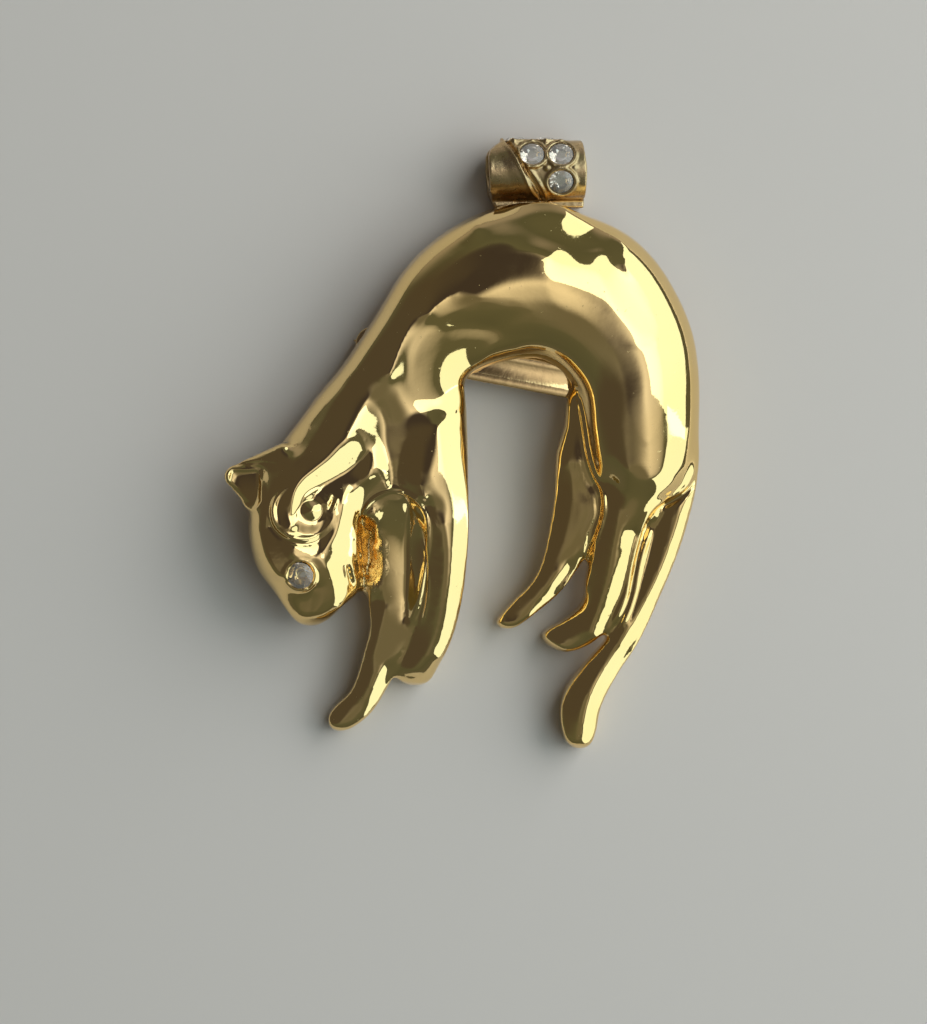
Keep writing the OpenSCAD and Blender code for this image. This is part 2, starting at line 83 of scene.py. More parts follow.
class Clay:
    """A skin's points as arrays, so that many can be moved together."""

    def __init__(self, form):
        self.form = form
        form.verts.index_update()
        self.place = np.array([v.co for v in form.verts])
        self.edges = np.array([[v.index for v in e.verts] for e in form.edges])
        self.count = np.bincount(self.edges.ravel(), minlength=len(self.place))
        self.look_up()

    def look_up(self):
        self.write()
        self.form.normal_update()
        self.up = np.array([v.normal for v in self.form.verts])

    def write(self):
        for vert, place in zip(self.form.verts, self.place):
            vert.co = place

    def mean(self, values):
        """The mean of each point's neighbours."""
        a, b = self.edges[:, 0], self.edges[:, 1]
        sums = [np.bincount(a, values[b, k], len(values)) + np.bincount(b, values[a, k], len(values))
                for k in range(values.shape[1])]
        return np.stack([total / self.count for total in sums], 1)

    def soften(self, rounds, step):
        """Each round moves the points part of the way to their neighbours' middle."""
        for i in range(rounds):
            self.place += step * (self.mean(self.place) - self.place)
        self.look_up()

    def smooth(self, rounds):
        """Each round moves the points towards their neighbours' middle and nearly as far back again,
        so the form hardly shrinks."""
        for i in range(rounds):
            for step in (0.52, -0.50):
                self.place += step * (self.mean(self.place) - self.place)
        self.look_up()

    def rise(self, height):
        self.place += height[:, None] * self.up


LINE_STEPS = 6


def flowing(line):
    """A smooth line through the given places."""
    p = np.array(line, float)
    p = np.vstack([2 * p[0] - p[1], p, 2 * p[-1] - p[-2]])
    t = np.arange(LINE_STEPS)[:, None] / LINE_STEPS
    out = [0.5 * (2 * b + (c - a) * t + (2 * a - 5 * b + 4 * c - d) * t * t
                  + (3 * b - a - 3 * c + d) * t ** 3)
           for a, b, c, d in zip(p, p[1:], p[2:], p[3:])]
    return np.vstack(out + [p[-2:-1]])


def off_line(place, line):
    """For each place: how far from the line it is, on which side, left of its run being positive, and
    how far along it, from 0 to 1."""
    line = flowing(line)
    a, run = line[:-1], np.diff(line, axis=0)
    rel = place[:, None, :2] - a[None]
    t = np.clip((rel * run).sum(2) / (run ** 2).sum(1), 0, 1)
    gap = rel - t[..., None] * run
    far = np.hypot(gap[..., 0], gap[..., 1])
    best = far.argmin(1)
    pick = np.arange(len(place))
    side = run[best, 0] * rel[pick, best, 1] - run[best, 1] * rel[pick, best, 0]
    return far[pick, best], np.sign(side), (best + t[pick, best]) / len(run)


def bell(far, width):
    return np.exp(-(far / width) ** 2)


def taper(along, first, last):
    """1 along the middle of a line, falling to 0 over the first and the last part of it."""
    return np.clip(along / max(first, 1e-6), 0, 1) * np.clip((1 - along) / max(last, 1e-6), 0, 1)


def inside(place, middle, reach):
    """1 at the middle, falling smoothly to 0 at the reach."""
    far = np.hypot(place[:, 0] - middle[0], place[:, 1] - middle[1]) / reach
    return np.clip(1 - far * far, 0, 1) ** 2


def relax(clay, middle, reach, rounds, ceiling=9):
    """Rubs the heights smooth round one place, below a ceiling."""
    share = inside(clay.place, middle, reach) * (clay.up[:, 2] > TO_THE_BACK)
    share *= clay.place[:, 2] < ceiling
    a, b = clay.edges[:, 0], clay.edges[:, 1]
    held = (share[a] > 0) | (share[b] > 0)
    a, b = a[held], b[held]
    count = np.maximum(np.bincount(a, minlength=len(share)) + np.bincount(b, minlength=len(share)), 1)
    z = clay.place[:, 2].copy()
    for i in range(rounds):
        mean = (np.bincount(a, z[b], len(z)) + np.bincount(b, z[a], len(z))) / count
        z += 0.5 * share * (mean - z)
    clay.place[:, 2] = z
    clay.look_up()


def loosen(clay, middle, reach, rounds):
    """Evens out the points round one place in all directions, so that an upright wall leans back."""
    share = 0.5 * inside(clay.place, middle, reach) * (clay.up[:, 2] > TO_THE_BACK)
    share *= clay.place[:, 2] > RIM_TOP
    clay.soften(rounds, share[:, None])


def along_line(clay, line, reach, low=2.0):
    """The points near a line seen from the front: which, how far off, on which side, how far along."""
    place = clay.place
    near = (place[:, :2] > np.min(line, 0) - reach).all(1) & (place[:, :2] < np.max(line, 0) + reach).all(1)
    near = np.flatnonzero(near & (place[:, 2] > low) & (clay.up[:, 2] > TO_THE_BACK))
    return (near, *off_line(place[near], line))


def lift(clay, near, height, upright=False):
    """Moves points out along the skin's normal, or straight up."""
    height = height * np.clip(clay.up[near, 2] * 3 + 0.9, 0, 1)
    clay.place[near] += height[:, None] * ((0, 0, 1) if upright else clay.up[near])


def crease(clay, line, height, width, offset=0.0, first=0.12, last=0.12, upright=False):
    """A rolled ridge, or with a negative height a groove, along a line."""
    near, far, side, along = along_line(clay, line, 3 * width + abs(offset))
    height = height * bell(far * side - offset if offset else far, width)
    lift(clay, near, height * taper(along, first, last), upright)


def turn_faces(clay, strokes, rounds=200, hold=0.0003):
    """Tilts bands of the skin and lets the heights follow smoothly. A band is the way it faces, in degrees
    round from the right, how steeply, and a line of places with half widths. The heights that come
    nearest to all the slopes at once are found by conjugate gradients."""
    slope = np.zeros((len(clay.place), 2))
    share = np.zeros(len(clay.place))
    for facing, tilt, line in strokes:
        line = np.array(line)
        near, far, _, along = along_line(clay, line[:, :2], 2 * line[:, 2].max())
        width = np.interp(along, np.linspace(0, 1, len(line)), line[:, 2])
        part = np.clip(1.9 - far / width * 1.2, 0, 1)
        part *= part * (3 - 2 * part) * (clay.up[near, 2] > TURNABLE)
        turn = math.radians(facing)
        fall = -math.tan(math.radians(tilt)) * np.array((math.cos(turn), math.sin(turn)))
        slope[near] += part[:, None] * (fall - slope[near])
        share[near] += part * (1 - share[near])
    a, b = clay.edges[:, 0], clay.edges[:, 1]
    free = share > 0
    for i in range(16):
        free[a] |= free[b]
        free[b] |= free[a]
    free &= (clay.up[:, 2] > TURNABLE) & (clay.place[:, 2] > 2.2)
    held = free[a] | free[b]
    a, b = a[held], b[held]
    z = clay.place[:, 2]
    part = (share[a] + share[b]) / 2
    wanted = ((slope[a] + slope[b]) / 2 * (clay.place[a, :2] - clay.place[b, :2])).sum(1)
    pull = 0.15 + 0.85 * part
    total = np.bincount(a, pull, len(z)) + np.bincount(b, pull, len(z)) + 1e-9
    miss = pull * part * (wanted - (z[a] - z[b]))
    left = free * (np.bincount(a, miss, len(z)) - np.bincount(b, miss, len(z)))
    raised = np.zeros(len(z))
    way = left / total
    worth = (left * way).sum()
    for i in range(rounds):
        over = pull * (way[a] - way[b])
        answer = free * (np.bincount(a, over, len(z)) - np.bincount(b, over, len(z)) + hold * total * way)
        reach = worth / (way * answer).sum()
        raised += reach * way
        left -= reach * answer
        before, worth = worth, (left * left / total).sum()
        way = left / total + worth / before * way
    z = z + raised
    clay.place[:, 2] = z
    clay.look_up()


def fill(clay, middle, reach, height, drop):
    """Raises what lies below a low dome up to it."""
    far = ((clay.place[:, 0] - middle[0]) / reach[0]) ** 2 + ((clay.place[:, 1] - middle[1]) / reach[1]) ** 2
    dome = height - drop * far
    low = (far < 1) & (clay.place[:, 2] < dome) & (clay.place[:, 2] > RIM_TOP)
    low &= clay.up[:, 2] > TO_THE_BACK
    clay.place[low, 2] = dome[low]
    clay.look_up()


def as_object(name, form, place=Matrix.Scale(MM, 4)):
    """A form that was worked in millimetres, as a new object in metres."""
    bmesh.ops.transform(form, matrix=place, verts=form.verts)
    mesh = bpy.data.meshes.new(name)
    form.to_mesh(mesh)
    form.free()
    made = bpy.data.objects.new(name, mesh)
    bpy.context.scene.collection.objects.link(made)
    return made


animal_form = even_skin(solid_copy("panther"), SKIN)
clay = Clay(animal_form)
clay.smooth(SKIN_ROUNDS)
clay.soften(SOFT_ROUNDS, 0.5)

# the neck runs into the head, the shoulder into the foreleg and the rump into the tail with no step,
# and the face, the far ear and the folds start from a smooth ground
for middle, reach, rounds in (((-13.6, -1.6), 4.2, 60), ((-3.0, 2.6), 4.5, 70), ((-7.5, -1.5), 3.5, 40),
                              ((21.5, -1.0), 3.0, 50), ((12.5, -2.5), 3.5, 30), ((-15.2, -5.8), 4.2, 120),
                              ((-14.9, -9.3), 1.8, 60), ((-20.2, -3.5), 2.4, 160),
                              ((18.8, -6.6), 1.9, 110), ((17.3, -9.4), 1.9, 110), ((16.6, -12.5), 1.9, 110),
                              ((15.7, -15.5), 1.9, 110)):
    relax(clay, middle, reach, rounds)
# the far foreleg comes out from under the arch as a smooth dome, with a deep hollow on each side of it
fill(clay, (-6.8, -5.4), (2.9, 2.6), 7.2, 1.2)
fill(clay, (-6.4, -9.5), (2.0, 6.5), 6.3, 1.0)
for middle, reach, rounds in (((-6.8, -6.4), 2.6, 50), ((-6.5, -9.5), 2.8, 50), ((-6.5, -13.0), 2.8, 50),
                              ((-6.5, -16.5), 2.6, 50)):
    relax(clay, middle, reach, rounds, ceiling=7.2)
crease(clay, [(-9.0, -7.2), (-8.75, -8.6), (-8.6, -10.6), (-8.6, -12.9)], -1.2, 0.75,
       first=0.2, last=0.2, upright=True)
clay.look_up()
for middle, reach, rounds in (((-8.6, -7.6), 1.6, 12), ((-8.6, -10.5), 1.8, 12), ((-5.0, -7.5), 2.2, 40),
                              ((-4.8, -10.5), 2.2, 40), ((-4.8, -13.5), 2.2, 40), ((-4.8, -3.8), 2.2, 90),
                              ((-6.4, -3.6), 2.3, 130), ((-8.2, -4.4), 1.8, 90)):
    relax(clay, middle, reach, rounds)
# casting lumps are left in the hollow that no tool reaches
LUMP_WIDTH = 0.42
for x, y, size in ((-9.1, -8.2, 0.30), (-8.2, -9.4, 0.26), (-9.4, -10.2, 0.26), (-8.5, -11.6, 0.30),
                   (-9.1, -12.7, 0.24), (-7.9, -8.1, 0.22)):
    far = np.hypot(clay.place[:, 0] - x, clay.place[:, 1] - y)
    clay.rise(size * bell(far, LUMP_WIDTH) * (clay.up[:, 2] > 0.2))
clay.look_up()

# the planes of the tail and the hind legs
turn_faces(clay, (
    # the tail's outer side and its edge to the light
    (150, 20, [(19.7, -5.4, 0.57), (18.6, -8.7, 0.75), (17.7, -11.6, 0.75), (16.7, -14.4, 0.57),
               (14.4, -18.6, 0.57), (12.5, -21.0, 0.66), (10.9, -23.8, 0.75), (10.3, -26.2, 0.75),
               (10.6, -27.8, 0.47)]),
    (-20, 31, [(21.1, -5.0, 0.19), (20.1, -8.3, 0.28), (19.0, -11.6, 0.38), (17.7, -14.4, 0.38),
               (16.0, -17.7, 0.47), (14.2, -20.5, 0.47), (12.9, -22.9, 0.47), (12.2, -25.2, 0.47),
               (12.0, -27.1, 0.47), (11.8, -28.2, 0.28)]),
    # the near hind leg's inner side, its edge to the light and the fold beside it
    (157, 23, [(13.5, -4.0, 0.75), (13.7, -6.8, 0.75), (13.3, -9.7, 0.75), (12.8, -12.5, 0.75),
               (12.2, -14.9, 0.75), (10.6, -16.7, 0.75), (8.7, -17.9, 0.57)]),
    (2, 20, [(16.1, -8.5, 0.38), (15.2, -10.8, 0.57), (14.3, -13.4, 0.66), (13.5, -15.5, 0.66),
             (12.7, -17.4, 0.47)]),
    (0, 26, [(17.6, -8.4, 0.28), (17.1, -10.3, 0.38), (16.5, -12.4, 0.38), (16.1, -13.9, 0.38),
             (15.5, -16.3, 0.28)]),
    # the far hind leg's crown and its edge to the light
    (200, 22, [(9.6, -3.1, 0.75), (9.4, -5.9, 0.75), (8.8, -8.7, 0.75), (7.8, -11.6, 0.75),
               (6.3, -13.9, 0.75), (4.6, -15.5, 0.57)]),
    (-20, 31, [(9.9, -11.4, 0.28), (9.0, -12.7, 0.38), (7.9, -14.4, 0.38), (6.8, -15.8, 0.28)]),
))
# the top of the back reaches up in front of the bail
hump = 0.85 * bell(clay.place[:, 0] - 8.1, 3.2) * np.clip((clay.place[:, 1] - 19.2) / 2.6, 0, 1) ** 2
clay.place[:, 1] += hump * np.clip((clay.place[:, 2] - 5.0) / 1.2, 0, 1)
clay.look_up()
turn_faces(clay, (
    # the rump's near side
    (30, 11, [(12.8, 17.5, 0.75), (13.7, 15.6, 1.04), (15.0, 13.5, 1.13), (16.7, 11.4, 1.04)]),
    # the rim over the hinge
    (88, 45, [(1.4, 20.9, 0.38), (3.5, 21.8, 0.57), (5.6, 22.4, 0.66), (7.8, 22.7, 0.66),
              (9.9, 22.4, 0.66), (12.2, 21.7, 0.57), (14.1, 20.6, 0.38)]),
    # the top below that rim
    (100, 19, [(7.3, 20.9, 0.75), (9.7, 20.5, 0.94), (12.2, 19.8, 0.94), (14.3, 18.6, 0.66)]),
))
loosen(clay, (8.1, 21.5), 5.5, 14)

# the face and the lines of the legs are worked more finely than the rest, so the skin has smaller faces there
haunch = [(21.87, -1.98), (20.91, -3.69), (19.42, -4.76), (17.93, -5.61), (17.08, -6.89), (16.54, -8.6),
          (16.22, -9.88), (15.8, -12.01), (15.37, -14.14), (14.52, -16.27), (13.66, -17.77)]
inner_edge = [(10.57, 5.48), (11.1, 3.35), (11.64, -0.28), (12.28, -2.41), (13.13, -4.12), (13.13, -6.25),
              (12.6, -8.38), (11.85, -10.52), (11.74, -13.08), (11.32, -14.36)]
arch_edge = [(-10.13, -8.55), (-9.65, -6.5), (-9.27, -5.64), (-8.71, -4.87), (-7.85, -4.27), (-6.91, -3.96),
             (-5.88, -4.01), (-5.02, -4.39), (-4.3, -4.95), (-3.85, -5.64), (-3.48, -6.67), (-3.39, -8.55),
             (-3.61, -10.96), (-4.08, -13.53), (-4.42, -15.76)]
fine = (clay.place[:, 0] < -8.6) & (clay.place[:, 1] < 2.0) & (clay.place[:, 0] + clay.place[:, 1] < -8)
fine |= (clay.place[:, 0] < -3.2) & (clay.place[:, 1] < -3.2)
fine &= (clay.place[:, 1] > -15.5) & (clay.place[:, 2] > 3.0) & (clay.up[:, 2] > 0.05)
for line, reach in ((haunch, 1.3), (inner_edge, 0.9), (arch_edge, 1.0)):
    near, far = along_line(clay, line, reach, low=2.4)[:2]
    fine[near[far < reach]] = True
clay.write()
fine_edges = [e for e in animal_form.edges if all(fine[v.index] for v in e.verts)]
bmesh.ops.subdivide_edges(animal_form, edges=fine_edges, cuts=1, use_grid_fill=True)
clay = Clay(animal_form)

for place in ((-4.7, -5.6), (-4.3, -7.3), (-4.2, -9.3), (-4.3, -11.3), (-4.6, -13.3), (-5.0, -15.2)):
    loosen(clay, place, 1.9, 40)
# the planes of the face, the neck and the forelegs: crests and hollows come where two of them meet
turn_faces(clay, (
    # the neck's outer side, down to the near ear
    (138, 17, [(-10.4, 4.7, 0.85), (-12.0, 2.1, 0.85), (-13.3, 0.1, 0.75), (-15.1, -1.6, 0.66),
               (-16.7, -3.3, 0.47), (-17.3, -5.0, 0.57), (-17.1, -6.3, 0.47), (-16.6, -7.1, 0.28)]),
    # the crest from the shoulder to the near ear
    (8, 20, [(-8.8, 2.5, 1.23), (-9.6, 0.9, 1.32), (-10.4, -0.3, 1.04)]),
    (-30, 28, [(-10.9, -0.5, 1.13), (-12.0, -1.5, 0.94), (-13.3, -2.3, 0.75), (-15.0, -3.4, 0.57),
               (-15.7, -4.7, 0.38), (-16.0, -5.9, 0.19)]),
    # its fork towards the arch
    (12, 20, [(-8.8, 2.0, 1.04), (-8.1, 0.2, 0.66), (-7.7, -1.2, 0.57), (-7.3, -2.4, 0.47),
              (-7.1, -3.4, 0.28)]),
    # the belly beside the shoulder, gently sloped up to the arch
    (-62, 8, [(2.4, 10.3, 0.75), (0.8, 9.7, 1.51), (-0.8, 8.4, 2.26), (-2.0, 6.7, 2.26)]),
    (-62, 8, [(-3.1, 10.1, 0.94), (-3.7, 8.6, 1.13), (-4.0, 6.7, 0.94)]),
    # the ear's hollow
    (250, 14, [(-13.3, -5.0, 0.38), (-13.0, -6.1, 0.47), (-13.7, -7.2, 0.47), (-15.0, -7.5, 0.38)]),
    # the cheek
    (17, 18, [(-10.0, -3.6, 0.47), (-10.4, -5.2, 0.85), (-10.8, -6.7, 0.94), (-11.3, -8.0, 0.94),
              (-11.7, -9.4, 1.23), (-12.1, -10.5, 1.04), (-11.9, -12.1, 0.75), (-11.7, -13.5, 0.47),
              (-11.7, -14.7, 0.19)]),
    # between the slit and the cheek
    (165, 22, [(-11.9, -4.0, 0.57), (-12.1, -5.7, 0.66), (-12.6, -7.4, 0.66), (-13.3, -8.7, 0.47)]),
    # the valley between the two
    (147, 20, [(-9.0, -0.5, 0.19), (-9.3, -1.5, 0.57), (-10.0, -2.5, 0.75), (-11.3, -3.3, 0.75),
               (-12.7, -4.1, 0.66), (-13.7, -4.7, 0.38)]),
    # the brow
    (28, 18, [(-15.6, -9.5, 0.47), (-14.8, -9.0, 0.66), (-13.9, -8.6, 0.38)]),
    # the forehead
    (138, 15, [(-18.1, -8.0, 0.66), (-17.5, -9.6, 0.85), (-17.0, -11.0, 0.66)]),
    # the nose
    (265, 14, [(-14.8, -15.0, 0.57), (-13.0, -14.2, 0.66), (-13.1, -12.0, 0.47), (-13.7, -10.6, 0.38)]),
    # the hollow beside the nose
    (140, 16, [(-13.8, -13.3, 0.38), (-13.9, -14.2, 0.47), (-14.2, -15.0, 0.28)]),
    # the far ear's hollow
    (138, 14, [(-21.0, -2.1, 0.66), (-20.3, -3.0, 0.85), (-19.8, -4.2, 0.47)]),
    # the far foreleg's crown
    (235, 9, [(-7.1, -5.0, 0.75), (-6.3, -6.8, 1.04), (-6.3, -10.6, 1.04), (-6.5, -13.9, 0.94),
              (-7.1, -17.2, 0.75), (-7.8, -19.6, 0.66)]),
    # the near foreleg's inner side, a wall above and a shoulder below
    (184, 50, [(-4.9, -5.5, 0.38), (-4.5, -6.8, 0.75), (-4.4, -9.2, 0.85), (-4.5, -11.7, 0.75),
               (-4.8, -14.0, 0.57), (-5.1, -15.9, 0.28)]),
    (163, 27, [(-3.5, -5.7, 0.47), (-2.7, -7.3, 0.66), (-2.5, -10.1, 0.75), (-2.8, -13.4, 0.75),
               (-3.3, -16.1, 0.85), (-3.9, -18.3, 0.85), (-4.9, -20.2, 0.75)]),
    # the far foreleg's outer side
    (163, 27, [(-8.0, -15.0, 0.57), (-8.7, -17.2, 0.57), (-9.7, -20.2, 0.57), (-10.6, -22.9, 0.57),
               (-11.6, -24.8, 0.57), (-12.1, -25.9, 0.47)]),
    # the right edges of the forelegs
    (-25, 31, [(-7.4, -20.8, 0.28), (-7.9, -22.4, 0.47), (-8.4, -23.8, 0.47), (-8.8, -25.1, 0.28)]),
    (0, 20, [(-1.9, 1.7, 0.66), (-1.2, -1.7, 0.75), (-0.6, -5.0, 0.75), (-0.4, -7.8, 0.75),
             (-0.6, -10.6, 0.66), (-1.1, -14.4, 0.47), (-1.6, -17.2, 0.47), (-2.1, -19.3, 0.38)]),
))
# the near ear's rolled edge in front and below, the boss and the slit in its hollow
ear_edge = [(-15.57, -2.93), (-16.77, -3.58), (-17.58, -4.61), (-17.85, -5.81), (-17.51, -7.1), (-16.6, -7.9),
            (-15.4, -8.3), (-14.11, -8.18), (-13.08, -7.44), (-12.22, -6.33)]
crease(clay, ear_edge, 0.22, 0.20, first=0.3, last=0.4)
crease(clay, ear_edge, -0.12, 0.2, offset=-0.5, first=0.3, last=0.4)
boss = np.hypot(clay.place[:, 0] + 14.28, clay.place[:, 1] + 5.67)
clay.rise((0.36 * bell(boss, 0.52) - 0.10 * bell(boss - 1.0, 0.22)) * (clay.up[:, 2] > 0.2))
clay.look_up()
slit_line = [(-12.14, -4.35), (-12.42, -5.0), (-12.7, -5.64)]
for height, width, offset in ((-0.22, 0.15, 0.0), (0.09, 0.12, 0.32), (0.09, 0.12, -0.32)):
    crease(clay, slit_line, height, width, offset=offset, first=0.3, last=0.3)
# the corner of the mouth and the double edge of the jaw
mouth_line = [(-10.89, -10.7), (-10.71, -11.81), (-10.34, -13.01)]
for height, width, offset in ((-0.36, 0.15, 0.0), (0.15, 0.12, 0.34), (0.13, 0.12, -0.34)):
    crease(clay, mouth_line, height, width, offset=offset, first=0.25, last=0.25)
clay.look_up()
crease(clay, [(-10.25, -7.53), (-10.2, -9.24), (-9.91, -10.96), (-9.65, -12.33), (-9.65, -13.61)], 0.16, 0.13)
crease(clay, [(-9.91, -7.35), (-9.74, -9.24), (-9.44, -10.96), (-9.27, -12.33), (-9.44, -13.44)], 0.16, 0.13)
# the far ear: a rolled edge round its hollow
crease(clay, [(-18.8, -4.9), (-19.51, -5.64), (-20.9, -5.1), (-21.83, -3.92), (-22.1, -2.6),
              (-21.6, -1.9), (-20.4, -1.9), (-19.2, -2.0), (-18.9, -3.2), (-18.8, -4.9)], 0.16, 0.22,
       first=0, last=0)
crease(clay, [(-21.6, -1.55), (-20.4, -1.35), (-18.6, -1.3), (-17.2, -1.6)], -0.10, 0.14)
# the arch between the neck and the near foreleg has a rolled edge, and a deep hollow follows it down
crease(clay, arch_edge, 0.18, 0.17)
clay.look_up()
# two faint lines run down the near foreleg's shoulder
for line in ([(-3.2, -6.0), (-2.5, -8.0), (-2.2, -11.0), (-2.6, -14.5), (-3.4, -17.5)],
             [(-3.9, -8.5), (-3.4, -11.0), (-3.4, -14.0), (-3.9, -16.6)]):
    crease(clay, line, 0.07, 0.13)
clay.look_up()
# the stone's setting stands up round it
setting = np.hypot(clay.place[:, 0] + 15.37, clay.place[:, 1] + 11.74)
clay.rise(0.10 * bell(setting - 1.42, 0.16) * (clay.up[:, 2] > 0.3))
clay.look_up()
# the haunch overlaps the tail with a rolled edge, and a second fold lies beside it
crease(clay, haunch, 0.16, 0.26, offset=-0.1)
crease(clay, haunch, -0.24, 0.24, offset=0.40)
crease(clay, [(17.93, -7.53), (17.29, -8.81), (16.76, -10.3), (16.44, -12.01), (16.22, -13.5),
              (15.58, -15.64), (14.73, -17.13)], 0.16, 0.28)
# the near hind leg's rolled inner edge, and a second line beside it
crease(clay, inner_edge, 0.16, 0.16)
crease(clay, [(10.36, 0.79), (11.1, -2.84), (11.96, -4.33), (12.28, -6.25), (11.64, -7.96),
              (11.32, -10.52)], 0.12, 0.14)
clay.look_up()
clay.soften(2, 0.35)

# where the polish can't reach: the pockets beside the far foreleg, and the hollow back; the pockets' gold is
# also painted paler, as painted light
pocket = np.zeros(len(clay.place))
for middle, reach in (((-8.9, -7.8), 1.3), ((-8.5, -9.4), 1.5), ((-8.5, -11.2), 1.5), ((-8.7, -12.7), 1.2)):
    pocket = np.maximum(pocket, np.sqrt(inside(clay.place, middle, reach)))
pocket *= np.clip((7.0 - clay.place[:, 2]) / 0.8, 0, 1)
back = np.clip((-0.15 - clay.up[:, 2]) / 0.5, 0, 1)

for face in animal_form.faces:
    face.smooth = True
animal = as_object("cast_animal", animal_form)
for name, values in (("pocket", pocket), ("back", back)):
    animal.data.attributes.new(name, "FLOAT", "POINT").data.foreach_set("value", values)
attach(animal, "brooch")
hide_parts("panther")


class Value:
    """A number that changes over a surface, which can be added and multiplied."""

    def __init__(self, finish, socket):
        self.finish, self.socket = finish, socket

    def maths(self, operation, first, second):
        return self.finish.value("ShaderNodeMath", {"operation": operation}, {0: first, 1: second})

    def __add__(self, other):
        return self.maths("ADD", self, other)

    def __radd__(self, other):
        return self.maths("ADD", other, self)

    def __mul__(self, other):
        return self.maths("MULTIPLY", self, other)

    def __rmul__(self, other):
        return self.maths("MULTIPLY", other, self)


class Finish:
    """The nodes of one surface finish."""

    def __init__(self, name):
        self.material = bpy.data.materials.new(name)
        self.material.use_nodes = True
        self.tree = self.material.node_tree
        self.tree.nodes.clear()
        self.here = self.node("ShaderNodeTexCoord").outputs["Object"]

    def node(self, kind, settings=None, sockets=None):
        node = self.tree.nodes.new(kind)
        for key, setting in (settings or {}).items():
            setattr(node, key, setting)
        for key, value in (sockets or {}).items():
            if isinstance(value, Value):
                value = value.socket
            if isinstance(value, bpy.types.NodeSocket):
                self.tree.links.new(value, node.inputs[key])
            else:
                node.inputs[key].default_value = value
        return node

    def value(self, kind, settings=None, sockets=None, output=0):
        return Value(self, self.node(kind, settings, sockets).outputs[output])

    def noise(self, scale, detail=2.0, rough=0.5):
        return self.value("ShaderNodeTexNoise", {"noise_dimensions": "3D"},
                          {"Vector": self.here, "Scale": scale, "Detail": detail, "Roughness": rough})

    def fade(self, value, low, high):
        """0 below low, 1 above high, smooth between."""
        return self.value("ShaderNodeMapRange", {"interpolation_type": "SMOOTHSTEP"},
                          {"Value": value, "From Min": low, "From Max": high})

    def blend(self, share, first, second):
        node = self.node("ShaderNodeMix", {"data_type": "RGBA"}, {0: share, 6: first, 7: second})
        return node.outputs[2]

    def bump(self, height, depth, under=None):
        sockets = {"Height": height, "Strength": 1.0, "Distance": depth}
        if under is not None:
            sockets["Normal"] = under
        return self.node("ShaderNodeBump", {}, sockets).outputs["Normal"]

    def surface(self, **sockets):
        names = {key: key.replace("_", " ") for key in sockets}
        shader = self.node("ShaderNodeBsdfPrincipled", {}, {names[k]: v for k, v in sockets.items()})
        self.node("ShaderNodeOutputMaterial", {}, {"Surface": shader.outputs[0]})
        return self.material


gold = Finish("bright_gold_plate")
in_pocket = gold.value("ShaderNodeAttribute", {"attribute_name": "pocket"}, output="Fac")
on_back = gold.value("ShaderNodeAttribute", {"attribute_name": "back"}, output="Fac")
haze = gold.fade(gold.noise(260, 3.0, 0.6), 0.50, 0.75)
specks = gold.fade(gold.noise(2600, 1.0), 0.74, 0.80)
warm = gold.fade(gold.noise(90, 2.0), 0.35, 0.70)
plate = gold.blend(warm, (0.94, 0.69, 0.32, 1), (0.95, 0.68, 0.29, 1))
# the pockets are painted a paler, less orange gold: painted light that lightens the orange which light
# bounced between the gold walls gives there
plate = gold.blend(in_pocket, plate, (0.98, 0.72, 0.36, 1))
ripple = gold.bump(gold.noise(900, 2.0), 0.000004)
lumps = gold.noise(1500, 3.0, 0.6)
gold_skin = gold.bump(lumps * in_pocket + 0.35 * lumps * on_back, 0.00022, ripple)
animal.data.materials.append(gold.surface(
    Base_Color=plate,
    Metallic=1.0,
    Roughness=0.035 + 0.05 * haze + 0.3 * specks + 0.16 * in_pocket + 0.30 * on_back,
    Normal=gold_skin))

# The stone in the face: a round cut glass stone with a silver foil behind it, cemented into the
# cup of its setting. Light goes in through its facets and comes back from the foil.
STONE_CROWN, STONE_DEPTH = 0.13, 0.24     # heights above and below the girdle, as shares of the diameter
GIRDLE = 0.015                            # half the girdle's height, likewise


def cut_stone(name, diameter, place, body, node):
    """A round stone: 25 facets above the girdle, 16 upright ones round it and 17 below. Those below are
    the foil, the others glass."""
    form = bmesh.new()
    for radius, height, corners, turn in ((0.29, STONE_CROWN, 8, 0.0), (0.405, 0.62 * STONE_CROWN, 8, 22.5),
                                          (0.5, GIRDLE, 16, 11.25), (0.5, -GIRDLE, 16, 11.25),
                                          (0.20, -STONE_DEPTH, 8, 22.5)):
        bmesh.ops.create_circle(form, segments=corners, radius=radius * diameter, matrix=(
            Matrix.Translation((0, 0, height * diameter)) @ Matrix.Rotation(math.radians(turn), 4, "Z")))
    bmesh.ops.convex_hull(form, input=form.verts)
    bmesh.ops.dissolve_limit(form, angle_limit=math.radians(1.0), verts=form.verts, edges=form.edges)
    bmesh.ops.recalc_face_normals(form, faces=form.faces)
    for face in form.faces:
        face.material_index = 1 if face.normal.z < -0.1 else 0
    piece = as_object(name, form, Matrix.Scale(MM, 4) @ place)
    for finish in stone_finishes:
        piece.data.materials.append(finish)
    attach(piece, body)
    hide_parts(node)


glass = Finish("cut_glass")
film = glass.fade(glass.noise(700, 3.0, 0.6), 0.45, 0.75)
foil = Finish("silver_foil")
worn = foil.fade(foil.noise(900, 3.0, 0.6), 0.48, 0.72)
stone_finishes = (
    glass.surface(Base_Color=(1.0, 0.97, 0.93, 1), Roughness=0.015 + 0.05 * film, IOR=1.56,
                  Transmission_Weight=0.82),
    foil.surface(Base_Color=foil.blend(worn, (1.0, 0.94, 0.88, 1), (0.86, 0.80, 0.74, 1)), Metallic=1.0,
                 Roughness=0.04 + 0.12 * worn))

EYE_D = 2.5
EYE_AT = Matrix.Translation((-15.3675, -11.7364, 7.4477))
EYE_LEAN = Matrix.Rotation(math.radians(-14), 4, "Y") @ Matrix.Rotation(math.radians(10), 4, "X")
cut_stone("eye_stone_cut", EYE_D, EYE_AT @ EYE_LEAN, "brooch", "eye_stone")

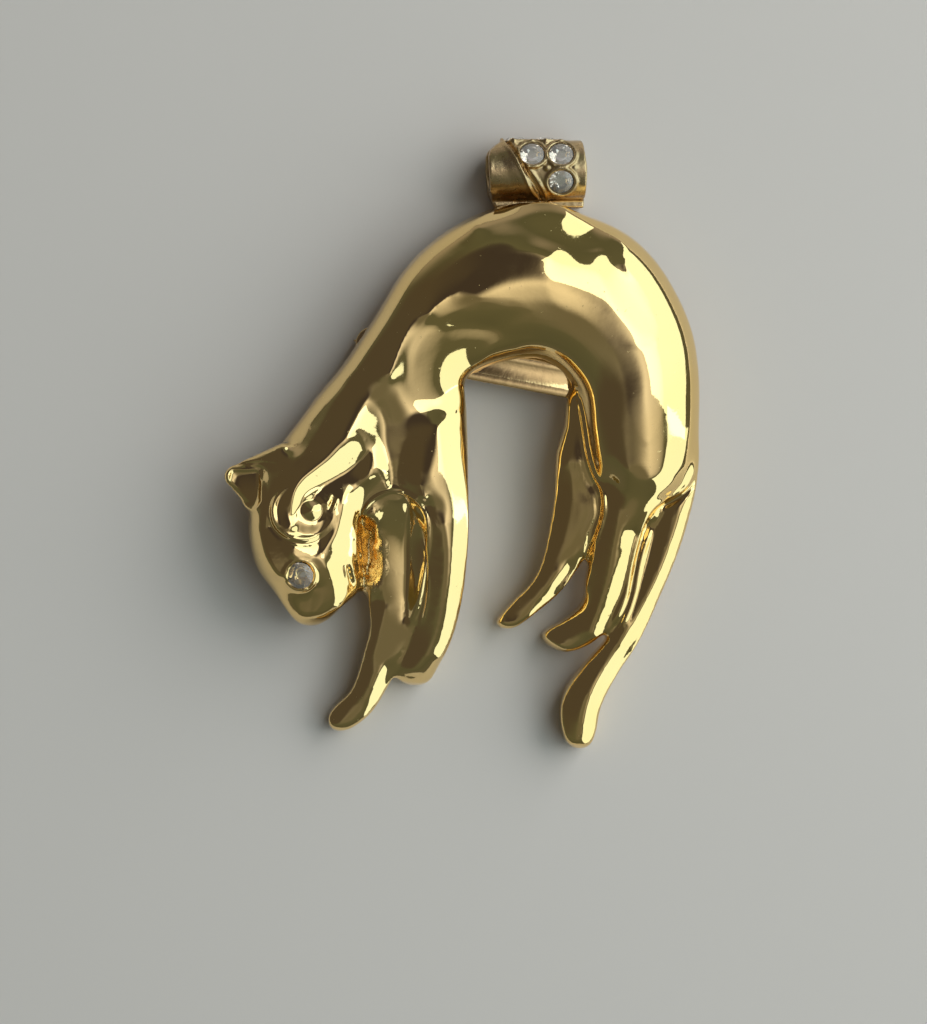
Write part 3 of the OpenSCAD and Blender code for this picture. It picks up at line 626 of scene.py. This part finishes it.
# The bail: a second casting, a loop with a foot that turns on a pin behind the top of the back. Its
# plate has gone duller and more coppery than the animal's, with dirt round the settings.
HINGE = Vector((6.975, 21.1, 1.25))
LOOP = HINGE + Vector((0, 5.0407, 1.5))
LOOP_R = 2.75
STONES = ((-0.54, 30.0), (2.18, 30.0), (2.18, -26.67), (-1.90, 86.67), (0.82, 86.67))
GRAINS = ((0.82, 30.0), (1.3, 3.0), (-0.54, 56.0), (0.82, 57.0), (2.18, 57.0), (3.4, 2.0))
PAVE_D = 2.3
PAVE_SUNK = 0.06         # the girdles of the stones lie this far below the loop's face
RELIEF, PRESSED = 0.13, 0.14


def at_stone(across, turn):
    """The place of a stone: how far across the bail, and how many degrees round the loop from its crown."""
    return (Matrix.Translation(LOOP + Vector((across, 0, 0))) @ Matrix.Rotation(math.radians(-turn), 4, "X")
            @ Matrix.Translation((0, 0, LOOP_R - PAVE_SUNK)))


bail_form = even_skin(solid_copy("bail"), 0.1)
metal = Clay(bail_form)
metal.smooth(4)
# the plain panel on the left is pressed in, a double ridge with a groove cuts across the front from the
# panel's top, and grains of metal hold the stones
metal.place -= LOOP
round_loop = np.arctan2(metal.place[:, 1], metal.place[:, 2]) * LOOP_R
outward = np.stack([0 * round_loop, metal.place[:, 1], metal.place[:, 2]], 1)
from_axis = np.hypot(outward[:, 1], outward[:, 2])
outward /= np.maximum(from_axis, 1e-6)[:, None]
unrolled = np.stack([metal.place[:, 0], round_loop], 1)
ridge_far, ridge_side, _ = off_line(unrolled, [(-3.1, 4.3), (-2.5, 2.6), (-0.9, -0.9), (0.7, -4.2)])
height = RELIEF * bell(ridge_far - 0.30, 0.15) - PRESSED * bell(ridge_far, 0.15)
panel = np.clip((-ridge_side * ridge_far - 0.5) / 1.2, 0, 1)
height -= PRESSED * panel * panel * (3 - 2 * panel)
for across, turn in GRAINS:
    grain_far = np.hypot(unrolled[:, 0] - across, unrolled[:, 1] - LOOP_R * math.radians(turn))
    height += RELIEF * bell(grain_far, 0.24)
height *= np.clip((from_axis - LOOP_R + 0.7) / 0.3, 0, 1) * np.clip((4.6 - np.abs(round_loop)) / 0.8, 0, 1)
metal.place += height[:, None] * outward + LOOP
metal.look_up()
for face in bail_form.faces:
    face.smooth = True
bail = as_object("bail_casting", bail_form)
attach(bail, "bail")
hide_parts("bail")

dull = Finish("dull_coppery_plate")
cloud = dull.fade(dull.noise(420, 4.0, 0.6), 0.35, 0.72)
dots = dull.fade(dull.noise(2200, 2.0, 0.5), 0.62, 0.74)
coppery = dull.blend(cloud, (0.70, 0.50, 0.27, 1), (0.56, 0.40, 0.21, 1))
coppery = dull.blend(dots, coppery, (0.34, 0.23, 0.11, 1))
grain = dull.bump(dull.noise(1600, 3.0, 0.6), 0.00004)
bail.data.materials.append(dull.surface(
    Base_Color=coppery,
    Metallic=1.0,
    Roughness=0.24 + 0.10 * cloud + 0.15 * dots,
    Normal=grain))

# The five stones of the bail lie in two rows round the loop.
for i, (across, turn) in enumerate(STONES, 1):
    cut_stone("bail_stone_cut_%d" % i, PAVE_D, at_stone(across, turn), "bail", "bail_stone_%d" % i)

# The hinge pin: a plain turned pin through the lugs and the bail's knuckle, kept as it was built.
drawn = Finish("drawn_pin_metal")
lines = drawn.fade(drawn.noise(1400, 3.0, 0.6), 0.4, 0.7)
pin_metal = drawn.surface(
    Base_Color=drawn.blend(lines, (0.80, 0.60, 0.33, 1), (0.55, 0.40, 0.22, 1)),
    Metallic=1.0,
    Roughness=0.18 + 0.2 * lines,
    Normal=drawn.bump(drawn.noise(2600, 2.0), 0.00002))
pin_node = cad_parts["hinge_pin"]
pin_node.data.materials.clear()
pin_node.data.materials.append(pin_metal)

# The pin back: a stamped bar riveted to two cast posts, with its hinge, stem and catch in the closed
# position. All of it is thin plated brass with softened edges.
ON_BAR = Matrix.Translation((4.995, 7.196, 0)) @ Matrix.Rotation(math.radians(-10.8), 4, "Z")
BAR_L, BAR_W, BAR_LOW, BAR_HIGH = 30.5, 3.2, 1.85, 2.55
POSTS = (-10.37, 10.98)
RIVET_HOLE_R = 0.71
STEM_Z, HINGE_AT, CATCH_AT = 0.925, 13.65, -13.85
ROUNDING = {"segments": 3, "profile": 0.5, "affect": "EDGES", "material": -1}
ALONG = Matrix.Rotation(math.radians(90), 4, "Y")
ACROSS = Matrix.Rotation(math.radians(90), 4, "X")
COLLAR_TURN = Matrix.Rotation(math.radians(-60), 4, "Z")     # turns the gap in the catch's collar
pin_form = bmesh.new()


def add(whole, part, place):
    """Puts a finished part of the piece in its place."""
    bmesh.ops.remove_doubles(part, verts=part.verts, dist=1e-5)
    bmesh.ops.recalc_face_normals(part, faces=part.faces)
    bmesh.ops.transform(part, matrix=place, verts=part.verts)
    mesh = bpy.data.meshes.new("part")
    part.to_mesh(mesh)
    part.free()
    whole.from_mesh(mesh)
    bpy.data.meshes.remove(mesh)


def turned(whole, profile, place, turn=360):
    """Spins a profile of (radius, height) pairs about its own axis, as on a lathe. A part that is spun
    less than once round gets its two ends closed."""
    part = bmesh.new()
    verts = [part.verts.new((radius, 0, height)) for radius, height in profile]
    edges = [part.edges.new(pair) for pair in zip(verts, verts[1:])]
    bmesh.ops.spin(part, geom=verts + edges, angle=math.radians(turn), steps=32, axis=(0, 0, 1),
                   cent=(0, 0, 0), use_merge=turn == 360)
    if turn < 360:
        bmesh.ops.remove_doubles(part, verts=part.verts, dist=1e-5)
        bmesh.ops.holes_fill(part, edges=part.edges, sides=0)
    add(whole, part, place)


def block(whole, size, place, soft=0.08):
    """A small block with softened edges."""
    part = bmesh.new()
    bmesh.ops.create_cube(part, size=1, matrix=Matrix.Diagonal((*size, 1)))
    bmesh.ops.bevel(part, geom=part.edges, offset=soft, **ROUNDING)
    add(whole, part, place)


# the bar: its outline and the two rivet holes are filled, raised and softened
bar = bmesh.new()
ends = bmesh.ops.create_circle(bar, segments=48, radius=BAR_W / 2,
                               matrix=Matrix.Rotation(math.radians(3.75), 4, "Z"))
for vert in ends["verts"]:
    vert.co.x += math.copysign((BAR_L - BAR_W) / 2, vert.co.x)
for post in POSTS:
    bmesh.ops.create_circle(bar, segments=32, radius=RIVET_HOLE_R, matrix=Matrix.Translation((post, 0, 0)))
bmesh.ops.triangle_fill(bar, edges=bar.edges, use_beauty=True, use_dissolve=False)
raised = bmesh.ops.extrude_face_region(bar, geom=list(bar.faces), use_keep_orig=True)
bmesh.ops.translate(bar, vec=(0, 0, BAR_HIGH - BAR_LOW),
                    verts=[v for v in raised["geom"] if isinstance(v, bmesh.types.BMVert)])
bmesh.ops.recalc_face_normals(bar, faces=bar.faces)
rims = [e for e in bar.edges if e.is_manifold and e.calc_face_angle(0) > 1.2]
bmesh.ops.bevel(bar, geom=rims, offset=0.11, **ROUNDING)
add(pin_form, bar, ON_BAR @ Matrix.Translation((0, 0, BAR_LOW)))

# the hinge: two cheeks turned down from the bar, with a rivet through them and the stem's coil between
for side in (-1, 1):
    block(pin_form, (1.5, 0.5, 1.35), ON_BAR @ Matrix.Translation((HINGE_AT, side * 1.03, 1.42)))
turned(pin_form, [(0, -1.28), (0.62, -1.28), (0.86, -1.20), (0.925, -1.02), (0.925, -0.79), (0.60, -0.74),
                  (0.60, 0.74), (0.925, 0.79), (0.925, 1.02), (0.86, 1.20), (0.62, 1.28), (0, 1.28)],
       ON_BAR @ Matrix.Translation((HINGE_AT, 0, STEM_Z)) @ ACROSS)
turned(pin_form, [(0.58, -0.42), (0.86, -0.40), (0.90, -0.2), (0.90, 0.2), (0.86, 0.40), (0.58, 0.42)],
       ON_BAR @ Matrix.Translation((HINGE_AT, 0, STEM_Z)) @ ACROSS)
# the stem: drawn wire, ground to a point where it goes through the catch
turned(pin_form, [(0, -15.45), (0.06, -15.42), (0.20, -14.6), (0.33, -13.0), (0.39, -10.5), (0.40, -9.0),
                  (0.40, 13.3), (0.38, 13.6), (0, 13.65)],
       ON_BAR @ Matrix.Translation((0, 0, STEM_Z)) @ ALONG)
# the catch: a foot under the bar, a collar that turns round the stem's end, and its lever
block(pin_form, (2.1, 0.95, 1.0), ON_BAR @ Matrix.Translation((CATCH_AT, 0, 1.66)))
turned(pin_form, [(0.52, -1.1), (0.86, -1.1), (0.925, -1.02), (0.925, -0.62), (0.84, -0.56), (0.84, -0.30),
                  (0.925, -0.22), (0.925, 1.02), (0.86, 1.1), (0.52, 1.1), (0.52, -1.1)],
       ON_BAR @ Matrix.Translation((CATCH_AT, 0, STEM_Z)) @ ALONG @ COLLAR_TURN, turn=300)
block(pin_form, (0.86, 1.9, 0.46), ON_BAR @ Matrix.Translation((CATCH_AT - 0.95, -1.32, 1.52)), 0.16)
for face in pin_form.faces:
    face.smooth = True
for edge in pin_form.edges:
    edge.smooth = not edge.is_manifold or edge.calc_face_angle(0) < 0.7
pin_back = as_object("pin_back_bar", pin_form)
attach(pin_back, "brooch")
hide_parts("pin_back")
stamped = Finish("stamped_plated_brass")
rub = stamped.fade(stamped.noise(300, 4.0, 0.6), 0.40, 0.72)
pin_back.data.materials.append(stamped.surface(
    Base_Color=stamped.blend(rub, (0.86, 0.61, 0.29, 1), (0.64, 0.43, 0.20, 1)),
    Metallic=1.0,
    Roughness=0.07 + 0.10 * rub,
    Normal=stamped.bump(stamped.noise(1100, 3.0, 0.6), 0.000008)))

# The floor: a plain pale surface under the brooch.
FLOOR_REACH = 1.2        # metres from its middle to each side
floor_form = bmesh.new()
bmesh.ops.create_grid(floor_form, x_segments=1, y_segments=1, size=FLOOR_REACH)
floor = as_object("floor", floor_form, Matrix())
pale = Finish("pale_floor")
floor.data.materials.append(pale.surface(Base_Color=(0.63, 0.59, 0.565, 1), Roughness=0.75))

# Soft light. One tall soft box stands to the upper right and a lower one to the lower right. A third,
# in the place of the first, lights only what is matt and isn't mirrored in the plate.
BOX_AT = 0.50                             # metres from the brooch to each soft box
SOFT_WHITE, WARM_WHITE = (0.82, 1.0, 1.03), (1.0, 0.94, 0.90)
BOX_TURN = math.radians(27)
BOX_WIDE, BOX_LOW, BOX_HIGH = 0.72, 0.10, 2.1


def soft_box(name, strength, colour, mirrored=True, turn=BOX_TURN, wide=BOX_WIDE, low=BOX_LOW, high=BOX_HIGH):
    """A vertical soft box; the strength is what it looks like from the brooch, 1 being white."""
    lamp = bpy.data.lights.new(name, "AREA")
    lamp.shape = "RECTANGLE"
    lamp.size = wide
    lamp.size_y = high - low
    lamp.energy = strength * math.pi * lamp.size * lamp.size_y
    lamp.color = colour
    light = bpy.data.objects.new(name, lamp)
    bpy.context.scene.collection.objects.link(light)
    light.location = (BOX_AT * math.cos(turn), BOX_AT * math.sin(turn), (low + high) / 2)
    light.rotation_euler = (math.radians(90), 0, turn + math.radians(90))
    light.visible_glossy = mirrored


soft_box("soft_box", 1.35, SOFT_WHITE)
soft_box("soft_box_low", 1.25, SOFT_WHITE, turn=math.radians(-32), wide=0.51, low=0.04, high=0.68)
soft_box("soft_box_fill", 2.9, WARM_WHITE, mirrored=False, low=0.06, high=0.60)

# The room is dim from the horizon to about 30 degrees from straight overhead. From there it runs up to
# white, except where one of the patches below lies over it.
world = bpy.data.worlds.new("room")
world.use_nodes = True
bpy.context.scene.world = world
room = world.node_tree
room.nodes.clear()
way = room.nodes.new("ShaderNodeTexCoord").outputs["Generated"]
split = room.nodes.new("ShaderNodeSeparateXYZ")
room.links.new(way, split.inputs[0])
ramp = room.nodes.new("ShaderNodeValToRGB")
horizon, overhead = ramp.color_ramp.elements
horizon.color = (0.105, 0.11, 0.09, 1)
overhead.color = (1, 1, 1, 1)
for height, colour in ((0.4, (0.09, 0.10, 0.075, 1)), (0.85, (0.115, 0.125, 0.095, 1))):
    ramp.color_ramp.elements.new(height).color = colour
room.links.new(split.outputs["Z"], ramp.inputs[0])
shade = ramp.outputs["Color"]
# darker and lighter parts of the room: azimuth, angle from straight up, full within, gone beyond, colour
for azimuth, lean, full, gone, colour in (
        (245, 22, 5, 24, (0.155, 0.155, 0.13, 1)),
        (132, 20, 17, 28, (0.052, 0.046, 0.05, 1)),
        (165, 50, 24, 42, (0.080, 0.072, 0.062, 1)),
        (75, 92, 10, 36, (0.30, 0.29, 0.30, 1)),
        (112, 95, 10, 36, (0.30, 0.29, 0.28, 1))):
    a, t = math.radians(azimuth), math.radians(lean)
    toward = room.nodes.new("ShaderNodeVectorMath")
    toward.operation = "DOT_PRODUCT"
    room.links.new(way, toward.inputs[0])
    toward.inputs[1].default_value = (math.cos(a) * math.sin(t), math.sin(a) * math.sin(t), math.cos(t))
    near = room.nodes.new("ShaderNodeMapRange")
    near.interpolation_type = "SMOOTHSTEP"
    room.links.new(toward.outputs["Value"], near.inputs["Value"])
    near.inputs["From Min"].default_value = math.cos(math.radians(gone))
    near.inputs["From Max"].default_value = math.cos(math.radians(full))
    mix = room.nodes.new("ShaderNodeMix")
    mix.data_type = "RGBA"
    room.links.new(near.outputs[0], mix.inputs[0])
    room.links.new(shade, mix.inputs[6])
    mix.inputs[7].default_value = colour
    shade = mix.outputs[2]
sky = room.nodes.new("ShaderNodeBackground")
room.links.new(shade, sky.inputs["Color"])
out = room.nodes.new("ShaderNodeOutputWorld")
room.links.new(sky.outputs[0], out.inputs["Surface"])

# The camera: nearly straight above, as the photograph was taken.
lens = bpy.data.cameras.new("camera")
camera = bpy.data.objects.new("camera", lens)
bpy.context.scene.collection.objects.link(camera)
PHOTO_ROWS, PIXELS_PER_MM = 1024, 10.6
CAMERA_FAR = 0.30                         # metres from the middle of the picture
MIDDLE = Vector((0.00007, -0.00608, 0.004))
LEAN_X, LEAN_Y = math.radians(-3.5), math.radians(3.5)
frame_high = PHOTO_ROWS / PIXELS_PER_MM * MM
lens.sensor_fit = "VERTICAL"
lens.angle = 2 * math.atan(frame_high / 2 / CAMERA_FAR)
to_camera = Vector((math.tan(LEAN_X), math.tan(LEAN_Y), 1)).normalized()
camera.location = MIDDLE + to_camera * CAMERA_FAR
to_right = Vector((0, 1, 0)).cross(to_camera).normalized()
camera.rotation_euler = Matrix((to_right, to_camera.cross(to_right), to_camera)).transposed().to_euler()
bpy.context.scene.camera = camera
bpy.context.scene.view_settings.view_transform = "Standard"
